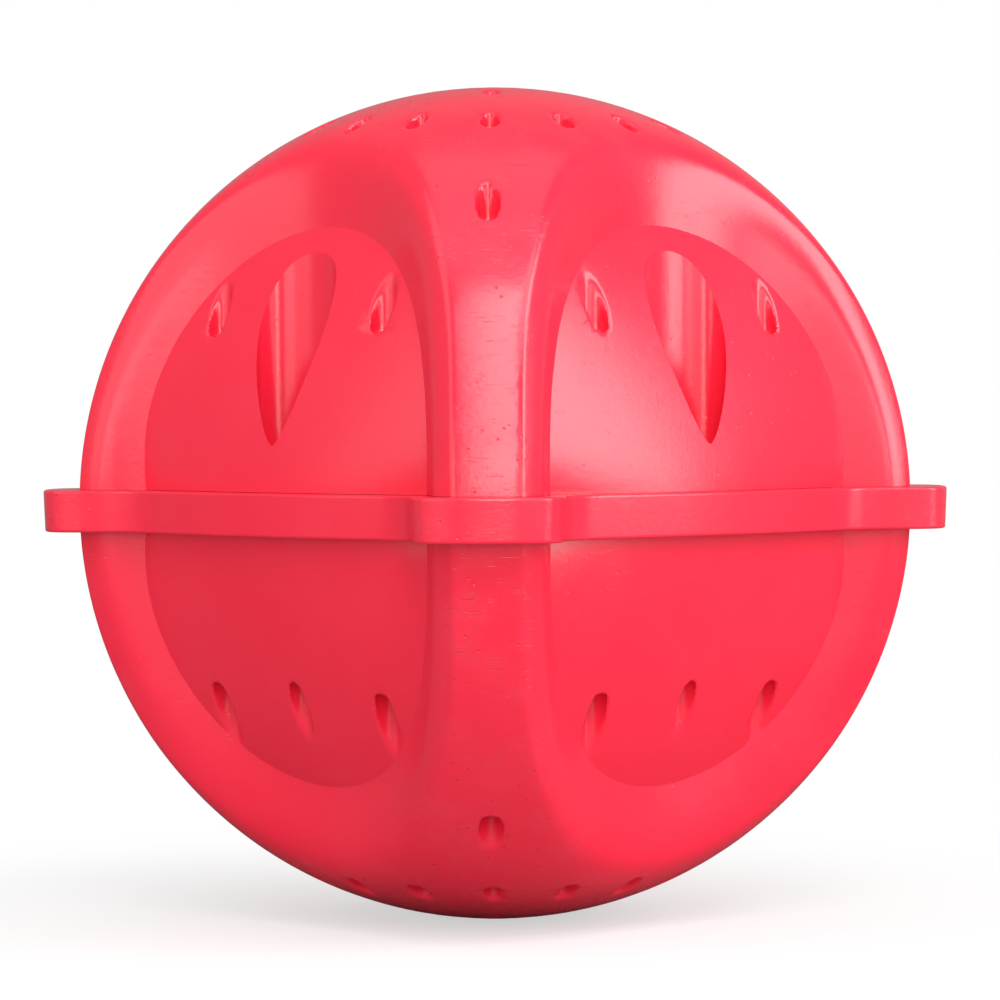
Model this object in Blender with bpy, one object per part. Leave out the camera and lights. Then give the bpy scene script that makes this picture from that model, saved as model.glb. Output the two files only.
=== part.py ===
# Laundry ball with a sealed magnet core.
# Two soft half shells close on a flange around a hard capsule, which holds a stack of ring magnets.
# Metres, +Z up. The origin is the ball's centre, and the flange lies a little below it.
# The front rib points along -Y, and the half with the tall pockets is on top.

import math

import bmesh
import bpy
from mathutils import Matrix

MM = 0.001

# Ball, ribs and recessed panels, the same in both halves
BALL_RADIUS = 40.0 * MM
RIB_COUNT = 4
RIB_WAIST = 9.6 * MM             # narrowest width of a rib, at the flange
PANEL_DEPTH = 11.2 * MM          # from the ball's surface in to the middle of a panel
PANEL_PLAN_RADIUS = 120.0 * MM   # a panel's curve, seen from above
PANEL_RISE_RADIUS = 49.4 * MM    # a panel's curve, seen from the side
PANEL_FLATTENING = 35.0          # how fast the plan curve flattens with height, per metre
PANEL_FLATTEST = 0.5             # and the least share of it that is left

# Flange, part of the lower shell
FLANGE_THICKNESS = 4.0 * MM
FLANGE_DROP = 0.5 * MM           # flange's mid-height below the ball's centre
FLANGE_LEDGE = 2.2 * MM          # how far the flange stands out of a panel
LOBE_STAND_OUT = 3.5 * MM        # how far a lobe stands out of the ball
LOBE_WIDTH = 13.6 * MM
LOBE_CORNER_RADIUS = 3.0 * MM
LOBE_ROOT_RADIUS = 2.6 * MM

# Spigot of the upper shell, which plugs into the lower shell
SPIGOT_WALL = 3.0 * MM
SPIGOT_DEPTH = 4.0 * MM

# Tall pockets in the upper panels, one in the middle of each
POCKET_WIDTH = 9.0 * MM          # along the panel
POCKET_THROAT = 5.8 * MM         # towards the axis
POCKET_SET_IN = 3.2 * MM         # pocket's centre line, behind the panel's middle
POCKET_FLOOR = 2.9 * MM          # floor above the flange's top
POCKET_OUTER_CURVE = 1.72        # 2 makes the section a plain oval, less makes it pointed
POCKET_INNER_CURVE = 2.3

# Small dimples, left by round-ended pins drawn along Z
PIN_WIDTH = 2.0 * MM
PIN_LENGTH = 3.4 * MM            # towards the axis, on the ball's own surface
PIN_SINK = 0.4 * MM              # pin's end below the lip of its dimple
POLE_PINS = 4
POLE_PIN_RADIUS = 8.8 * MM
CROWN_PINS = 16
CROWN_PIN_RADIUS = 17.8 * MM
UPPER_RIB_PIN_RADIUS = 28.7 * MM
LOWER_RIB_PIN_RADIUS = 27.4 * MM
PANEL_PIN_WIDTH = 2.6 * MM
UPPER_PANEL_PIN_HEIGHT = 18.8 * MM
LOWER_PANEL_PIN_HEIGHT = 19.9 * MM
PANEL_PIN_ANGLE = 24.8           # degrees from the panel's middle

# Magnet core, from the middle outwards
BOLT_DIAMETER = 5.0 * MM
BOLT_HEAD_ACROSS = 8.0 * MM
BOLT_HEAD_HEIGHT = 3.0 * MM
BOLT_END = 1.0 * MM              # thread left over above the nut
NUT_ACROSS = 8.0 * MM
NUT_HEIGHT = 4.0 * MM
MAGNET_COUNT = 4
MAGNET_DIAMETER = 32.0 * MM
MAGNET_THICKNESS = 6.0 * MM
PLATE_THICKNESS = 1.5 * MM
CAPSULE_WALL = 1.7 * MM
CAPSULE_FLOOR = 2.0 * MM
CAPSULE_EDGE = 1.5 * MM          # chamfer around the capsule's ends
LID_SPIGOT_WALL = 2.0 * MM
LID_SPIGOT_DEPTH = 1.3 * MM
SEAL_THICKNESS = 1.0 * MM
PAD_HOLE_DIAMETER = 12.0 * MM

GAP = 0.3 * MM                   # between neighbours that touch or slide
WELD = 0.003 * MM                # corners closer than this become one

OVERSHOOT = 12.0 * MM            # how far cutters run out past the ball
PANEL_BLOCK_TOP = 34.6 * MM      # a panel's face ends below this height

BALL_SEGMENTS = 56
BALL_STEPS = 14
WALL_STEPS = 18
PANEL_COLUMNS = 14
PANEL_ROWS = 9
PIN_SIDES = 8
POCKET_SIDES = 16
CORE_SEGMENTS = 32
BOLT_SEGMENTS = 16
LOBE_END_STEPS = 2
LOBE_ARC_STEPS = 4
LEDGE_STEPS = 6
SHARP_ANGLE = 30.0               # degrees, past which an edge is shaded sharp

# Sizes that follow from the ones above
PITCH = 2.0 * math.pi / RIB_COUNT
SEAM = FLANGE_THICKNESS / 2 - FLANGE_DROP
FLANGE_BOTTOM = SEAM - FLANGE_THICKNESS
RECESS_CENTRE = BALL_RADIUS / math.cos(PITCH / 2)
RECESS_RADIUS = BALL_RADIUS * math.tan(PITCH / 2) - RIB_WAIST / 2
PANEL_CENTRE = BALL_RADIUS - PANEL_DEPTH - PANEL_PLAN_RADIUS
LOBE_END = BALL_RADIUS + LOBE_STAND_OUT

PLATE_COUNT = MAGNET_COUNT + 1
STACK_HEIGHT = (MAGNET_COUNT * MAGNET_THICKNESS + PLATE_COUNT * PLATE_THICKNESS
                + (MAGNET_COUNT + PLATE_COUNT - 1) * GAP)
STACK_TOP = STACK_HEIGHT / 2
BORE_RADIUS = BOLT_DIAMETER / 2 + GAP
MAGNET_RADIUS = MAGNET_DIAMETER / 2
CAPSULE_BORE = MAGNET_RADIUS + GAP
CAPSULE_RADIUS = CAPSULE_BORE + CAPSULE_WALL

HEAD_BOTTOM = -STACK_TOP - GAP - BOLT_HEAD_HEIGHT
CUP_FLOOR = HEAD_BOTTOM - GAP
CUP_BOTTOM = CUP_FLOOR - CAPSULE_FLOOR
LID_SPIGOT_END = STACK_TOP + GAP
CUP_RIM = LID_SPIGOT_END + LID_SPIGOT_DEPTH
SEAL_BOTTOM = CUP_RIM + GAP
LID_FACE = SEAL_BOTTOM + SEAL_THICKNESS + GAP
LID_BORE = CAPSULE_BORE - GAP - LID_SPIGOT_WALL
BOLT_TOP = STACK_TOP + GAP + NUT_HEIGHT + BOLT_END
LID_CEILING = BOLT_TOP + GAP
LID_TOP = LID_CEILING + CAPSULE_FLOOR

CAVITY_RADIUS = CAPSULE_RADIUS + GAP
CAVITY_TOP = LID_TOP + GAP
CAVITY_BOTTOM = CUP_BOTTOM - GAP
SPIGOT_RADIUS = CAVITY_RADIUS + SPIGOT_WALL
SPIGOT_END = SEAM - SPIGOT_DEPTH

CLEAR = BALL_RADIUS + OVERSHOOT


def solid(points, faces):
    """A closed mesh with its faces pointing out."""
    mesh = bpy.data.meshes.new("solid")
    mesh.from_pydata(points, [], faces)
    shape = bmesh.new()
    shape.from_mesh(mesh)
    bmesh.ops.recalc_face_normals(shape, faces=shape.faces)
    shape.to_mesh(mesh)
    shape.free()
    return mesh


def turned(outline, segments):
    """A body turned about Z from a closed outline of (radius, height) points."""
    points = []
    rings = []
    for radius, height in outline:
        if radius == 0.0:
            rings.append([len(points)] * segments)
            points.append((0.0, 0.0, height))
            continue
        rings.append([len(points) + step for step in range(segments)])
        for step in range(segments):
            turn = 2.0 * math.pi * (step + 0.5) / segments
            points.append((radius * math.cos(turn), radius * math.sin(turn), height))
    faces = []
    for low, high in zip(rings, rings[1:] + rings[:1]):
        for step in range(segments):
            after = (step + 1) % segments
            corners = list(dict.fromkeys([low[step], low[after], high[after], high[step]]))
            if len(corners) > 2:
                faces.append(corners)
    return solid(points, faces)


def prism(outline, bottom, top):
    """A plan outline of (x, y) points drawn up from one height to another."""
    count = len(outline)
    points = [(x, y, bottom) for x, y in outline] + [(x, y, top) for x, y in outline]
    faces = [list(range(count)), list(range(count, 2 * count))]
    for step in range(count):
        after = (step + 1) % count
        faces.append([step, after, count + after, count + step])
    return solid(points, faces)


def gathered(pieces):
    """One mesh out of (mesh, matrix) pairs."""
    whole = bmesh.new()
    for mesh, matrix in pieces:
        copy = mesh.copy()
        copy.transform(matrix)
        whole.from_mesh(copy)
        bpy.data.meshes.remove(copy)
    bmesh.ops.recalc_face_normals(whole, faces=whole.faces)
    mesh = bpy.data.meshes.new("gathered")
    whole.to_mesh(mesh)
    whole.free()
    return mesh


def combined(base, tool, operation):
    """The Boolean of two closed meshes."""
    body = bpy.data.objects.new("body", base)
    cutter = bpy.data.objects.new("cutter", tool)
    for item in (body, cutter):
        bpy.context.scene.collection.objects.link(item)
    step = body.modifiers.new("combine", "BOOLEAN")
    step.operation = operation
    step.object = cutter
    step.solver = "EXACT"
    depsgraph = bpy.context.evaluated_depsgraph_get()
    result = bpy.data.meshes.new_from_object(body.evaluated_get(depsgraph))
    for item in (body, cutter):
        bpy.data.objects.remove(item)
    shape = bmesh.new()
    shape.from_mesh(result)
    bmesh.ops.remove_doubles(shape, verts=shape.verts, dist=WELD)
    bmesh.ops.dissolve_degenerate(shape, edges=shape.edges, dist=WELD)
    shape.to_mesh(result)
    shape.free()
    return result


def coloured(name, colour, roughness, metallic):
    """A plain finish for one sub-part."""
    material = bpy.data.materials.new(name)
    material.use_nodes = True
    shader = material.node_tree.nodes["Principled BSDF"]
    shader.inputs["Base Color"].default_value = (*colour, 1.0)
    shader.inputs["Roughness"].default_value = roughness
    shader.inputs["Metallic"].default_value = metallic
    return material


def placed(name, mesh, finish, height=0.0):
    """A named sub-part, set at a height on the ball's axis."""
    mesh.name = name
    part = bpy.data.objects.new(name, mesh)
    part.location = (0.0, 0.0, height)
    bpy.context.scene.collection.objects.link(part)
    mesh.materials.clear()
    mesh.materials.append(coloured(name, *finish))
    mesh.shade_smooth()
    mesh.set_sharp_from_angle(angle=math.radians(SHARP_ANGLE))
    return part


def around(centre, radius, turn):
    """A point on a circle. Turns are clockwise from +Y."""
    return centre[0] + radius * math.sin(turn), centre[1] + radius * math.cos(turn)


def arc(centre, radius, start, end, steps):
    """Points along an arc, both ends included."""
    return [around(centre, radius, start + (end - start) * step / steps) for step in range(steps + 1)]


def turned_by(outline, turn):
    """A plan outline turned clockwise about the axis."""
    cosine = math.cos(turn)
    sine = math.sin(turn)
    return [(x * cosine + y * sine, y * cosine - x * sine) for x, y in outline]


def rib_turns():
    """Directions of the ribs, the front one first."""
    return [math.pi + PITCH * step for step in range(RIB_COUNT)]


def panel_turns():
    """Directions of the panels' middles."""
    return [turn + PITCH / 2 for turn in rib_turns()]


def drawn_in(height):
    """How far a panel's face has drawn in towards the axis at a height."""
    return PANEL_RISE_RADIUS - math.sqrt(PANEL_RISE_RADIUS ** 2 - height ** 2)


def curve_share(height):
    """The share of a panel's plan curve that is left at a height."""
    return max(PANEL_FLATTEST, 1.0 - PANEL_FLATTENING * max(0.0, height))


def panel_reach(side, height):
    """How far a panel's face lies from the axis, along the panel's own direction."""
    side = side * curve_share(height)
    return PANEL_CENTRE + math.sqrt((PANEL_PLAN_RADIUS - drawn_in(height)) ** 2 - side ** 2)


def panel_height(side, reach):
    """Height of a panel's upper face above the ball's centre, at a place in plan."""
    inset = PANEL_PLAN_RADIUS - math.hypot(reach - PANEL_CENTRE, side * PANEL_FLATTEST)
    return math.sqrt(max(0.0, PANEL_RISE_RADIUS ** 2 - (PANEL_RISE_RADIUS - inset) ** 2))


def ball_height(radius):
    """Height of the ball's surface at a plan radius."""
    return math.sqrt(max(0.0, BALL_RADIUS ** 2 - radius ** 2))


def ball_arc(first_height):
    """The ball's outline from a height up to the pole, as (radius, height) points."""
    start = math.asin(first_height / BALL_RADIUS)
    points = []
    for step in range(BALL_STEPS):
        rise = start + (math.pi / 2 - start) * step / BALL_STEPS
        points.append((BALL_RADIUS * math.cos(rise), BALL_RADIUS * math.sin(rise)))
    return points + [(0.0, BALL_RADIUS)]


def panel_block():
    """The core of the ball behind one panel, facing +Y, with the panel's curved face on it."""
    half_width = RECESS_RADIUS
    bottom = -FLANGE_THICKNESS
    top = PANEL_BLOCK_TOP
    columns = PANEL_COLUMNS
    rows = PANEL_ROWS
    points = []
    for row in range(rows + 1):
        height = bottom + (top - bottom) * row / rows
        for column in range(columns + 1):
            side = -half_width + 2 * half_width * column / columns
            points.append((side, panel_reach(side, height), height))
    for height in (bottom, top):
        for side in (-half_width, half_width):
            points.append((side, 0.0, height))
    wide = columns + 1
    faces = []
    for row in range(rows):
        for column in range(columns):
            low = row * wide + column
            faces.append([low, low + 1, low + 1 + wide])
            faces.append([low, low + 1 + wide, low + wide])
    back = wide * (rows + 1)
    faces.append(list(range(wide)) + [back + 1, back])
    faces.append([wide * rows + column for column in range(wide)] + [back + 3, back + 2])
    faces.append([wide * row for row in range(rows + 1)] + [back + 2, back])
    faces.append([wide * row + columns for row in range(rows + 1)] + [back + 3, back + 1])
    faces.append([back, back + 1, back + 3, back + 2])
    return solid(points, faces)


def recess_block():
    """What is scooped out of the ball in front of one panel, facing +Y."""
    beside_rib = math.pi / 2 + PITCH / 2
    wall = arc((0.0, RECESS_CENTRE), RECESS_RADIUS, beside_rib, 2 * math.pi - beside_rib, WALL_STEPS)
    first = around(wall[0], CLEAR, PITCH / 2)
    last = around(wall[-1], CLEAR, -PITCH / 2)
    block = prism([first] + wall + [last], FLANGE_BOTTOM, CLEAR)
    return combined(block, panel_block(), "DIFFERENCE")


def recesses(flip):
    """The recess blocks of one half, mirrored to the lower half when flip is -1."""
    block = recess_block()
    pieces = []
    for turn in panel_turns():
        pieces.append((block, Matrix.Rotation(-turn, 4, "Z") @ Matrix.Diagonal((1.0, 1.0, flip, 1.0))))
    return gathered(pieces)


def pin_outline(turn, radius, across, along):
    """A plan outline of an oval pin at a radius, in a given direction from the axis."""
    outline = []
    for step in range(PIN_SIDES):
        angle = 2.0 * math.pi * (step + 0.5) / PIN_SIDES
        outline.append((across / 2 * math.sin(angle), radius + along / 2 * math.cos(angle)))
    return turned_by(outline, turn)


def pocket_outline(turn, radius):
    """A pocket's plan outline, pointed towards the panel and fuller towards the axis."""
    outline = []
    for step in range(POCKET_SIDES):
        angle = 2.0 * math.pi * step / POCKET_SIDES
        sine, cosine = math.sin(angle), math.cos(angle)
        power = 2.0 / (POCKET_OUTER_CURVE if cosine > 0.0 else POCKET_INNER_CURVE)
        outline.append((POCKET_WIDTH / 2 * math.copysign(abs(sine) ** power, sine),
                        radius + POCKET_THROAT / 2 * math.copysign(abs(cosine) ** power, cosine)))
    return turned_by(outline, turn)


def pin(turn, radius, across, along, end, flip):
    """One upright oval pin from its end out past the ball."""
    shape = prism(pin_outline(turn, radius, across, along), end, CLEAR)
    return shape, Matrix.Diagonal((1.0, 1.0, flip, 1.0))


def surface_pins(turns, radius, flip):
    """Pins whose dimples lie on the ball's own surface."""
    end = ball_height(radius + PIN_LENGTH / 2) - PIN_SINK
    return [pin(turn, radius, PIN_WIDTH, PIN_LENGTH, end, flip) for turn in turns]


def panel_pins(height, offsets, flip):
    """Pins whose dimples lie on the panels, at a height and at angles from each panel's middle."""
    pins = []
    plan_radius = PANEL_PLAN_RADIUS - drawn_in(height)
    for offset in offsets:
        along = PANEL_CENTRE * math.cos(offset)
        slope = math.cos(offset) ** 2 + (curve_share(height) * math.sin(offset)) ** 2
        radius = (along + math.sqrt(along ** 2 - slope * (PANEL_CENTRE ** 2 - plan_radius ** 2))) / slope
        lip = radius + PANEL_PIN_WIDTH / 2
        end = panel_height(lip * math.sin(offset), lip * math.cos(offset)) - PIN_SINK
        for turn in panel_turns():
            pins.append(pin(turn + offset, radius, PANEL_PIN_WIDTH, PANEL_PIN_WIDTH, end, flip))
    return pins


def dimples(rib_pin_radius, panel_pin_height, offsets, flip):
    """All the pins of one half."""
    pole_turns = [2.0 * math.pi * step / POLE_PINS for step in range(POLE_PINS)]
    crown_turns = [2.0 * math.pi * step / CROWN_PINS for step in range(CROWN_PINS)]
    pins = surface_pins(pole_turns, POLE_PIN_RADIUS, flip)
    pins += surface_pins(crown_turns, CROWN_PIN_RADIUS, flip)
    pins += surface_pins(rib_turns(), rib_pin_radius, flip)
    pins += panel_pins(panel_pin_height, offsets, flip)
    return gathered(pins)


def pockets():
    """The four tall pockets, cut down behind the upper panels."""
    radius = BALL_RADIUS - PANEL_DEPTH - POCKET_SET_IN
    pieces = []
    for turn in panel_turns():
        shape = prism(pocket_outline(turn, radius), SEAM + POCKET_FLOOR, CLEAR)
        pieces.append((shape, Matrix.Identity(4)))
    return gathered(pieces)


def flange_outline():
    """The flange seen from above: a lobe on each rib, and a ledge along each panel."""
    half = LOBE_WIDTH / 2
    corner_side = half - LOBE_CORNER_RADIUS
    corner = (corner_side, math.sqrt((LOBE_END - LOBE_CORNER_RADIUS) ** 2 - corner_side ** 2))
    corner_turn = math.atan2(corner[0], corner[1])
    ledge_radius = PANEL_PLAN_RADIUS + FLANGE_LEDGE
    ledge_centre = around((0.0, 0.0), PANEL_CENTRE, PITCH / 2)
    root_side = half + LOBE_ROOT_RADIUS
    across = root_side - ledge_centre[0]
    out = math.sqrt((ledge_radius + LOBE_ROOT_RADIUS) ** 2 - across ** 2)
    root = (root_side, ledge_centre[1] + out)
    root_turn = math.atan2(across, out)
    side = arc((0.0, 0.0), LOBE_END, 0.0, corner_turn, LOBE_END_STEPS)
    side += arc(corner, LOBE_CORNER_RADIUS, corner_turn, math.pi / 2, LOBE_ARC_STEPS)[1:]
    side += arc(root, LOBE_ROOT_RADIUS, 1.5 * math.pi, math.pi + root_turn, LOBE_ARC_STEPS)
    side += arc(ledge_centre, ledge_radius, root_turn, PITCH / 2, LEDGE_STEPS)[1:]
    mirrored = [(-x, y) for x, y in reversed(side)]
    outline = []
    for turn in rib_turns():
        outline += turned_by(mirrored[1:] + side[1:], turn)
    return outline


def upper_shell():
    """The soft upper half, with its spigot and the capsule's cavity."""
    outline = [(0.0, CAVITY_TOP), (CAVITY_RADIUS, CAVITY_TOP), (CAVITY_RADIUS, SPIGOT_END),
               (SPIGOT_RADIUS, SPIGOT_END), (SPIGOT_RADIUS, SEAM + GAP)]
    shell = turned(outline + ball_arc(SEAM + GAP), BALL_SEGMENTS)
    panel_angle = math.radians(PANEL_PIN_ANGLE)
    shell = combined(shell, recesses(1.0), "DIFFERENCE")
    shell = combined(shell, pockets(), "DIFFERENCE")
    pins = dimples(UPPER_RIB_PIN_RADIUS, UPPER_PANEL_PIN_HEIGHT, (-panel_angle, panel_angle), 1.0)
    return combined(shell, pins, "DIFFERENCE")


def lower_shell():
    """The soft lower half, with the flange, the capsule's cavity and the spigot's seat."""
    bowl = turned([(radius, -height) for radius, height in ball_arc(0.0)] + [(0.0, 0.0)], BALL_SEGMENTS)
    shell = combined(bowl, recesses(-1.0), "DIFFERENCE")
    shell = combined(shell, prism(flange_outline(), FLANGE_BOTTOM, SEAM), "UNION")
    seat_radius = SPIGOT_RADIUS + GAP
    seat_end = SPIGOT_END - GAP
    room = turned([(0.0, CAVITY_BOTTOM), (CAVITY_RADIUS, CAVITY_BOTTOM), (CAVITY_RADIUS, seat_end),
                   (seat_radius, seat_end), (seat_radius, CLEAR), (0.0, CLEAR)], BALL_SEGMENTS)
    shell = combined(shell, room, "DIFFERENCE")
    panel_angle = math.radians(PANEL_PIN_ANGLE)
    pins = dimples(LOWER_RIB_PIN_RADIUS, LOWER_PANEL_PIN_HEIGHT, (-panel_angle, 0.0, panel_angle), -1.0)
    return combined(shell, pins, "DIFFERENCE")


def ring(inner, outer, thickness, segments):
    """A flat ring standing on z = 0."""
    return turned([(inner, 0.0), (outer, 0.0), (outer, thickness), (inner, thickness)], segments)


def hexagon(across):
    """A hexagon outline of a given width across its flats."""
    return [around((0.0, 0.0), across / 2 / math.cos(math.pi / 6), math.pi / 3 * step) for step in range(6)]


def core_cup():
    """The capsule's cup, with a chamfered foot."""
    return turned([(0.0, CUP_BOTTOM), (CAPSULE_RADIUS - CAPSULE_EDGE, CUP_BOTTOM),
                   (CAPSULE_RADIUS, CUP_BOTTOM + CAPSULE_EDGE), (CAPSULE_RADIUS, CUP_RIM),
                   (CAPSULE_BORE, CUP_RIM), (CAPSULE_BORE, CUP_FLOOR), (0.0, CUP_FLOOR)], CORE_SEGMENTS)


def core_lid():
    """The capsule's lid, with a short spigot that centres it in the cup."""
    spigot = CAPSULE_BORE - GAP
    return turned([(LID_BORE, LID_SPIGOT_END), (spigot, LID_SPIGOT_END), (spigot, LID_FACE),
                   (CAPSULE_RADIUS, LID_FACE), (CAPSULE_RADIUS, LID_TOP - CAPSULE_EDGE),
                   (CAPSULE_RADIUS - CAPSULE_EDGE, LID_TOP), (0.0, LID_TOP), (0.0, LID_CEILING),
                   (LID_BORE, LID_CEILING)], CORE_SEGMENTS)


def core_bolt():
    """The bolt that clamps the stack, head down."""
    start = HEAD_BOTTOM + BOLT_HEAD_HEIGHT / 2
    shank = turned([(0.0, start), (BOLT_DIAMETER / 2, start),
                    (BOLT_DIAMETER / 2, BOLT_TOP), (0.0, BOLT_TOP)], BOLT_SEGMENTS)
    head = prism(hexagon(BOLT_HEAD_ACROSS), HEAD_BOTTOM, HEAD_BOTTOM + BOLT_HEAD_HEIGHT)
    return combined(head, shank, "UNION")


def core_nut():
    """The nut on top of the stack."""
    top = NUT_HEIGHT + GAP
    hole = turned([(0.0, -GAP), (BORE_RADIUS, -GAP), (BORE_RADIUS, top), (0.0, top)], BOLT_SEGMENTS)
    return combined(prism(hexagon(NUT_ACROSS), 0.0, NUT_HEIGHT), hole, "DIFFERENCE")


SOFT_RED = ((0.90, 0.07, 0.10), 0.45, 0.0)
CAPSULE_WHITE = ((0.80, 0.80, 0.78), 0.40, 0.0)
SEAL_BLACK = ((0.03, 0.03, 0.03), 0.60, 0.0)
FERRITE_GREY = ((0.09, 0.09, 0.10), 0.55, 0.2)
PLATE_STEEL = ((0.55, 0.56, 0.58), 0.35, 1.0)
BOLT_STEEL = ((0.62, 0.62, 0.63), 0.28, 1.0)
PAD_GREY = ((0.25, 0.25, 0.26), 0.90, 0.0)


def build():
    """The whole ball, shells first and then the core from the bottom up."""
    for item in list(bpy.data.objects):
        bpy.data.objects.remove(item)
    placed("upper_shell", upper_shell(), SOFT_RED)
    placed("lower_shell", lower_shell(), SOFT_RED)
    placed("core_cup", core_cup(), CAPSULE_WHITE)
    placed("core_lid", core_lid(), CAPSULE_WHITE)
    seal = ring(CAPSULE_BORE, CAPSULE_RADIUS, SEAL_THICKNESS, CORE_SEGMENTS)
    placed("lid_seal", seal, SEAL_BLACK, SEAL_BOTTOM)
    placed("core_bolt", core_bolt(), BOLT_STEEL)
    placed("core_nut", core_nut(), BOLT_STEEL, STACK_TOP + GAP)
    height = -STACK_TOP
    for step in range(PLATE_COUNT):
        plate = ring(BORE_RADIUS, MAGNET_RADIUS, PLATE_THICKNESS, CORE_SEGMENTS)
        placed("pole_plate_%d" % (step + 1), plate, PLATE_STEEL, height)
        height += PLATE_THICKNESS + GAP
        if step < MAGNET_COUNT:
            magnet = ring(BORE_RADIUS, MAGNET_RADIUS, MAGNET_THICKNESS, CORE_SEGMENTS)
            placed("ring_magnet_%d" % (step + 1), magnet, FERRITE_GREY, height)
            height += MAGNET_THICKNESS + GAP
    lower_pad = ring(PAD_HOLE_DIAMETER / 2, LID_BORE - GAP, BOLT_HEAD_HEIGHT - GAP, CORE_SEGMENTS)
    placed("lower_pad", lower_pad, PAD_GREY, CUP_FLOOR + GAP)
    upper_pad = ring(PAD_HOLE_DIAMETER / 2, LID_BORE - GAP, LID_CEILING - STACK_TOP - 2 * GAP, CORE_SEGMENTS)
    placed("upper_pad", upper_pad, PAD_GREY, STACK_TOP + GAP)


build()
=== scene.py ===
import math

import bmesh
import bpy
from mathutils import Matrix, Vector


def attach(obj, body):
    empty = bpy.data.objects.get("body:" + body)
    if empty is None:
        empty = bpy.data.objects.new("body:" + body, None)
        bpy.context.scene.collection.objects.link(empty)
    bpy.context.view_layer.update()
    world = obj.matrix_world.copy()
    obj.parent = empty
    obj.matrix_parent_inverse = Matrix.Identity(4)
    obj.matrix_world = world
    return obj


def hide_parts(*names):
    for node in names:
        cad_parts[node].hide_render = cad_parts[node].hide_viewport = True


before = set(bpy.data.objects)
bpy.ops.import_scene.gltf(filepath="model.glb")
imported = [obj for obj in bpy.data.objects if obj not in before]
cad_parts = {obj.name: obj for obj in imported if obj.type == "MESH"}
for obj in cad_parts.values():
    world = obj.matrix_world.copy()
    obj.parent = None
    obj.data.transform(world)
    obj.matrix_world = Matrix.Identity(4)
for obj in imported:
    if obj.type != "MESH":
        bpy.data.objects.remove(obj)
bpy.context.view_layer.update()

millimetre = 0.001
scene = bpy.context.scene


# Shared helpers

def linear(hexColour):
    # sRGB hex to the linear colour that the shader wants
    channels = []
    for start in (1, 3, 5):
        value = int(hexColour[start:start + 2], 16) / 255
        channels.append(value / 12.92 if value <= 0.04045 else ((value + 0.055) / 1.055) ** 2.4)
    return (*channels, 1.0)


def addNode(tree, kind, settings=None, inputs=None):
    # one node, its settings, and its inputs as plain values, or as sockets or nodes to link
    node = tree.nodes.new(kind)
    for name, value in (settings or {}).items():
        setattr(node, name, value)
    for key, value in (inputs or {}).items():
        if isinstance(value, bpy.types.Node):
            value = value.outputs[0]
        if isinstance(value, bpy.types.NodeSocket):
            tree.links.new(value, node.inputs[key])
        else:
            node.inputs[key].default_value = value
    return node


def followRecipe(tree, values, recipe):
    # each row names a value, the sum that gives it, and the values or numbers that go in
    for name, operation, *terms in recipe:
        sources = dict(enumerate(values.get(term, term) for term in terms))
        if operation == "LENGTH":
            point = addNode(tree, "ShaderNodeCombineXYZ", {}, sources)
            node = addNode(tree, "ShaderNodeVectorMath", {"operation": "LENGTH"}, {0: point})
            values[name] = node.outputs["Value"]
        else:
            values[name] = addNode(tree, "ShaderNodeMath", {"operation": operation}, sources)


def startTree(name, inputs, results):
    # a geometry tree with the kinds of its inputs and results, and its inputs' sockets
    tree = bpy.data.node_groups.new(name, "GeometryNodeTree")
    for way, sockets in (("INPUT", inputs), ("OUTPUT", results)):
        for label, kind in sockets.items():
            tree.interface.new_socket(name=label, in_out=way, socket_type="NodeSocket" + kind)
    return tree, addNode(tree, "NodeGroupInput").outputs


def addPiece(name, mesh, body, nodes):
    # a finished mesh becomes a piece of the model, in place of its solids
    piece = bpy.data.objects.new(name, mesh)
    scene.collection.objects.link(piece)
    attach(piece, body)
    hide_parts(*nodes)


def evaluatedMesh(item):
    # the mesh that an object's modifiers give, as plain data
    bpy.context.view_layer.update()
    depsgraph = bpy.context.evaluated_depsgraph_get()
    return bpy.data.meshes.new_from_object(item.evaluated_get(depsgraph))


def grownFromTree(tree, settings, base=None):
    # runs a geometry tree on a mesh, with its named inputs set by identifier
    holder = bpy.data.objects.new("holder", base or bpy.data.meshes.new("holder"))
    scene.collection.objects.link(holder)
    modifier = holder.modifiers.new("grow", "NODES")
    modifier.node_group = tree
    identifiers = {item.name: item.identifier for item in tree.interface.items_tree
                   if item.item_type == "SOCKET" and item.in_out == "INPUT"}
    for name, value in settings.items():
        modifier[identifiers[name]] = value
    mesh = evaluatedMesh(holder)
    bpy.data.objects.remove(holder)
    return mesh


def addTube(shape, rings, smoothSides=False):
    # a closed tube through rings of (x, y, z) points in millimetres, with flat ends
    loops = [[shape.verts.new([value * millimetre for value in place]) for place in ring] for ring in rings]
    shape.faces.new(loops[0])
    shape.faces.new(loops[-1])
    for low, high in zip(loops, loops[1:]):
        for step in range(len(low)):
            after = (step + 1) % len(low)
            shape.faces.new((low[step], low[after], high[after], high[step])).smooth = smoothSides


def finishedMesh(shape, name, material):
    # a shape's mesh, with its faces turned outward and its material
    bmesh.ops.recalc_face_normals(shape, faces=shape.faces)
    mesh = bpy.data.meshes.new(name)
    shape.to_mesh(mesh)
    shape.free()
    mesh.materials.append(material)
    return mesh


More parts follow.
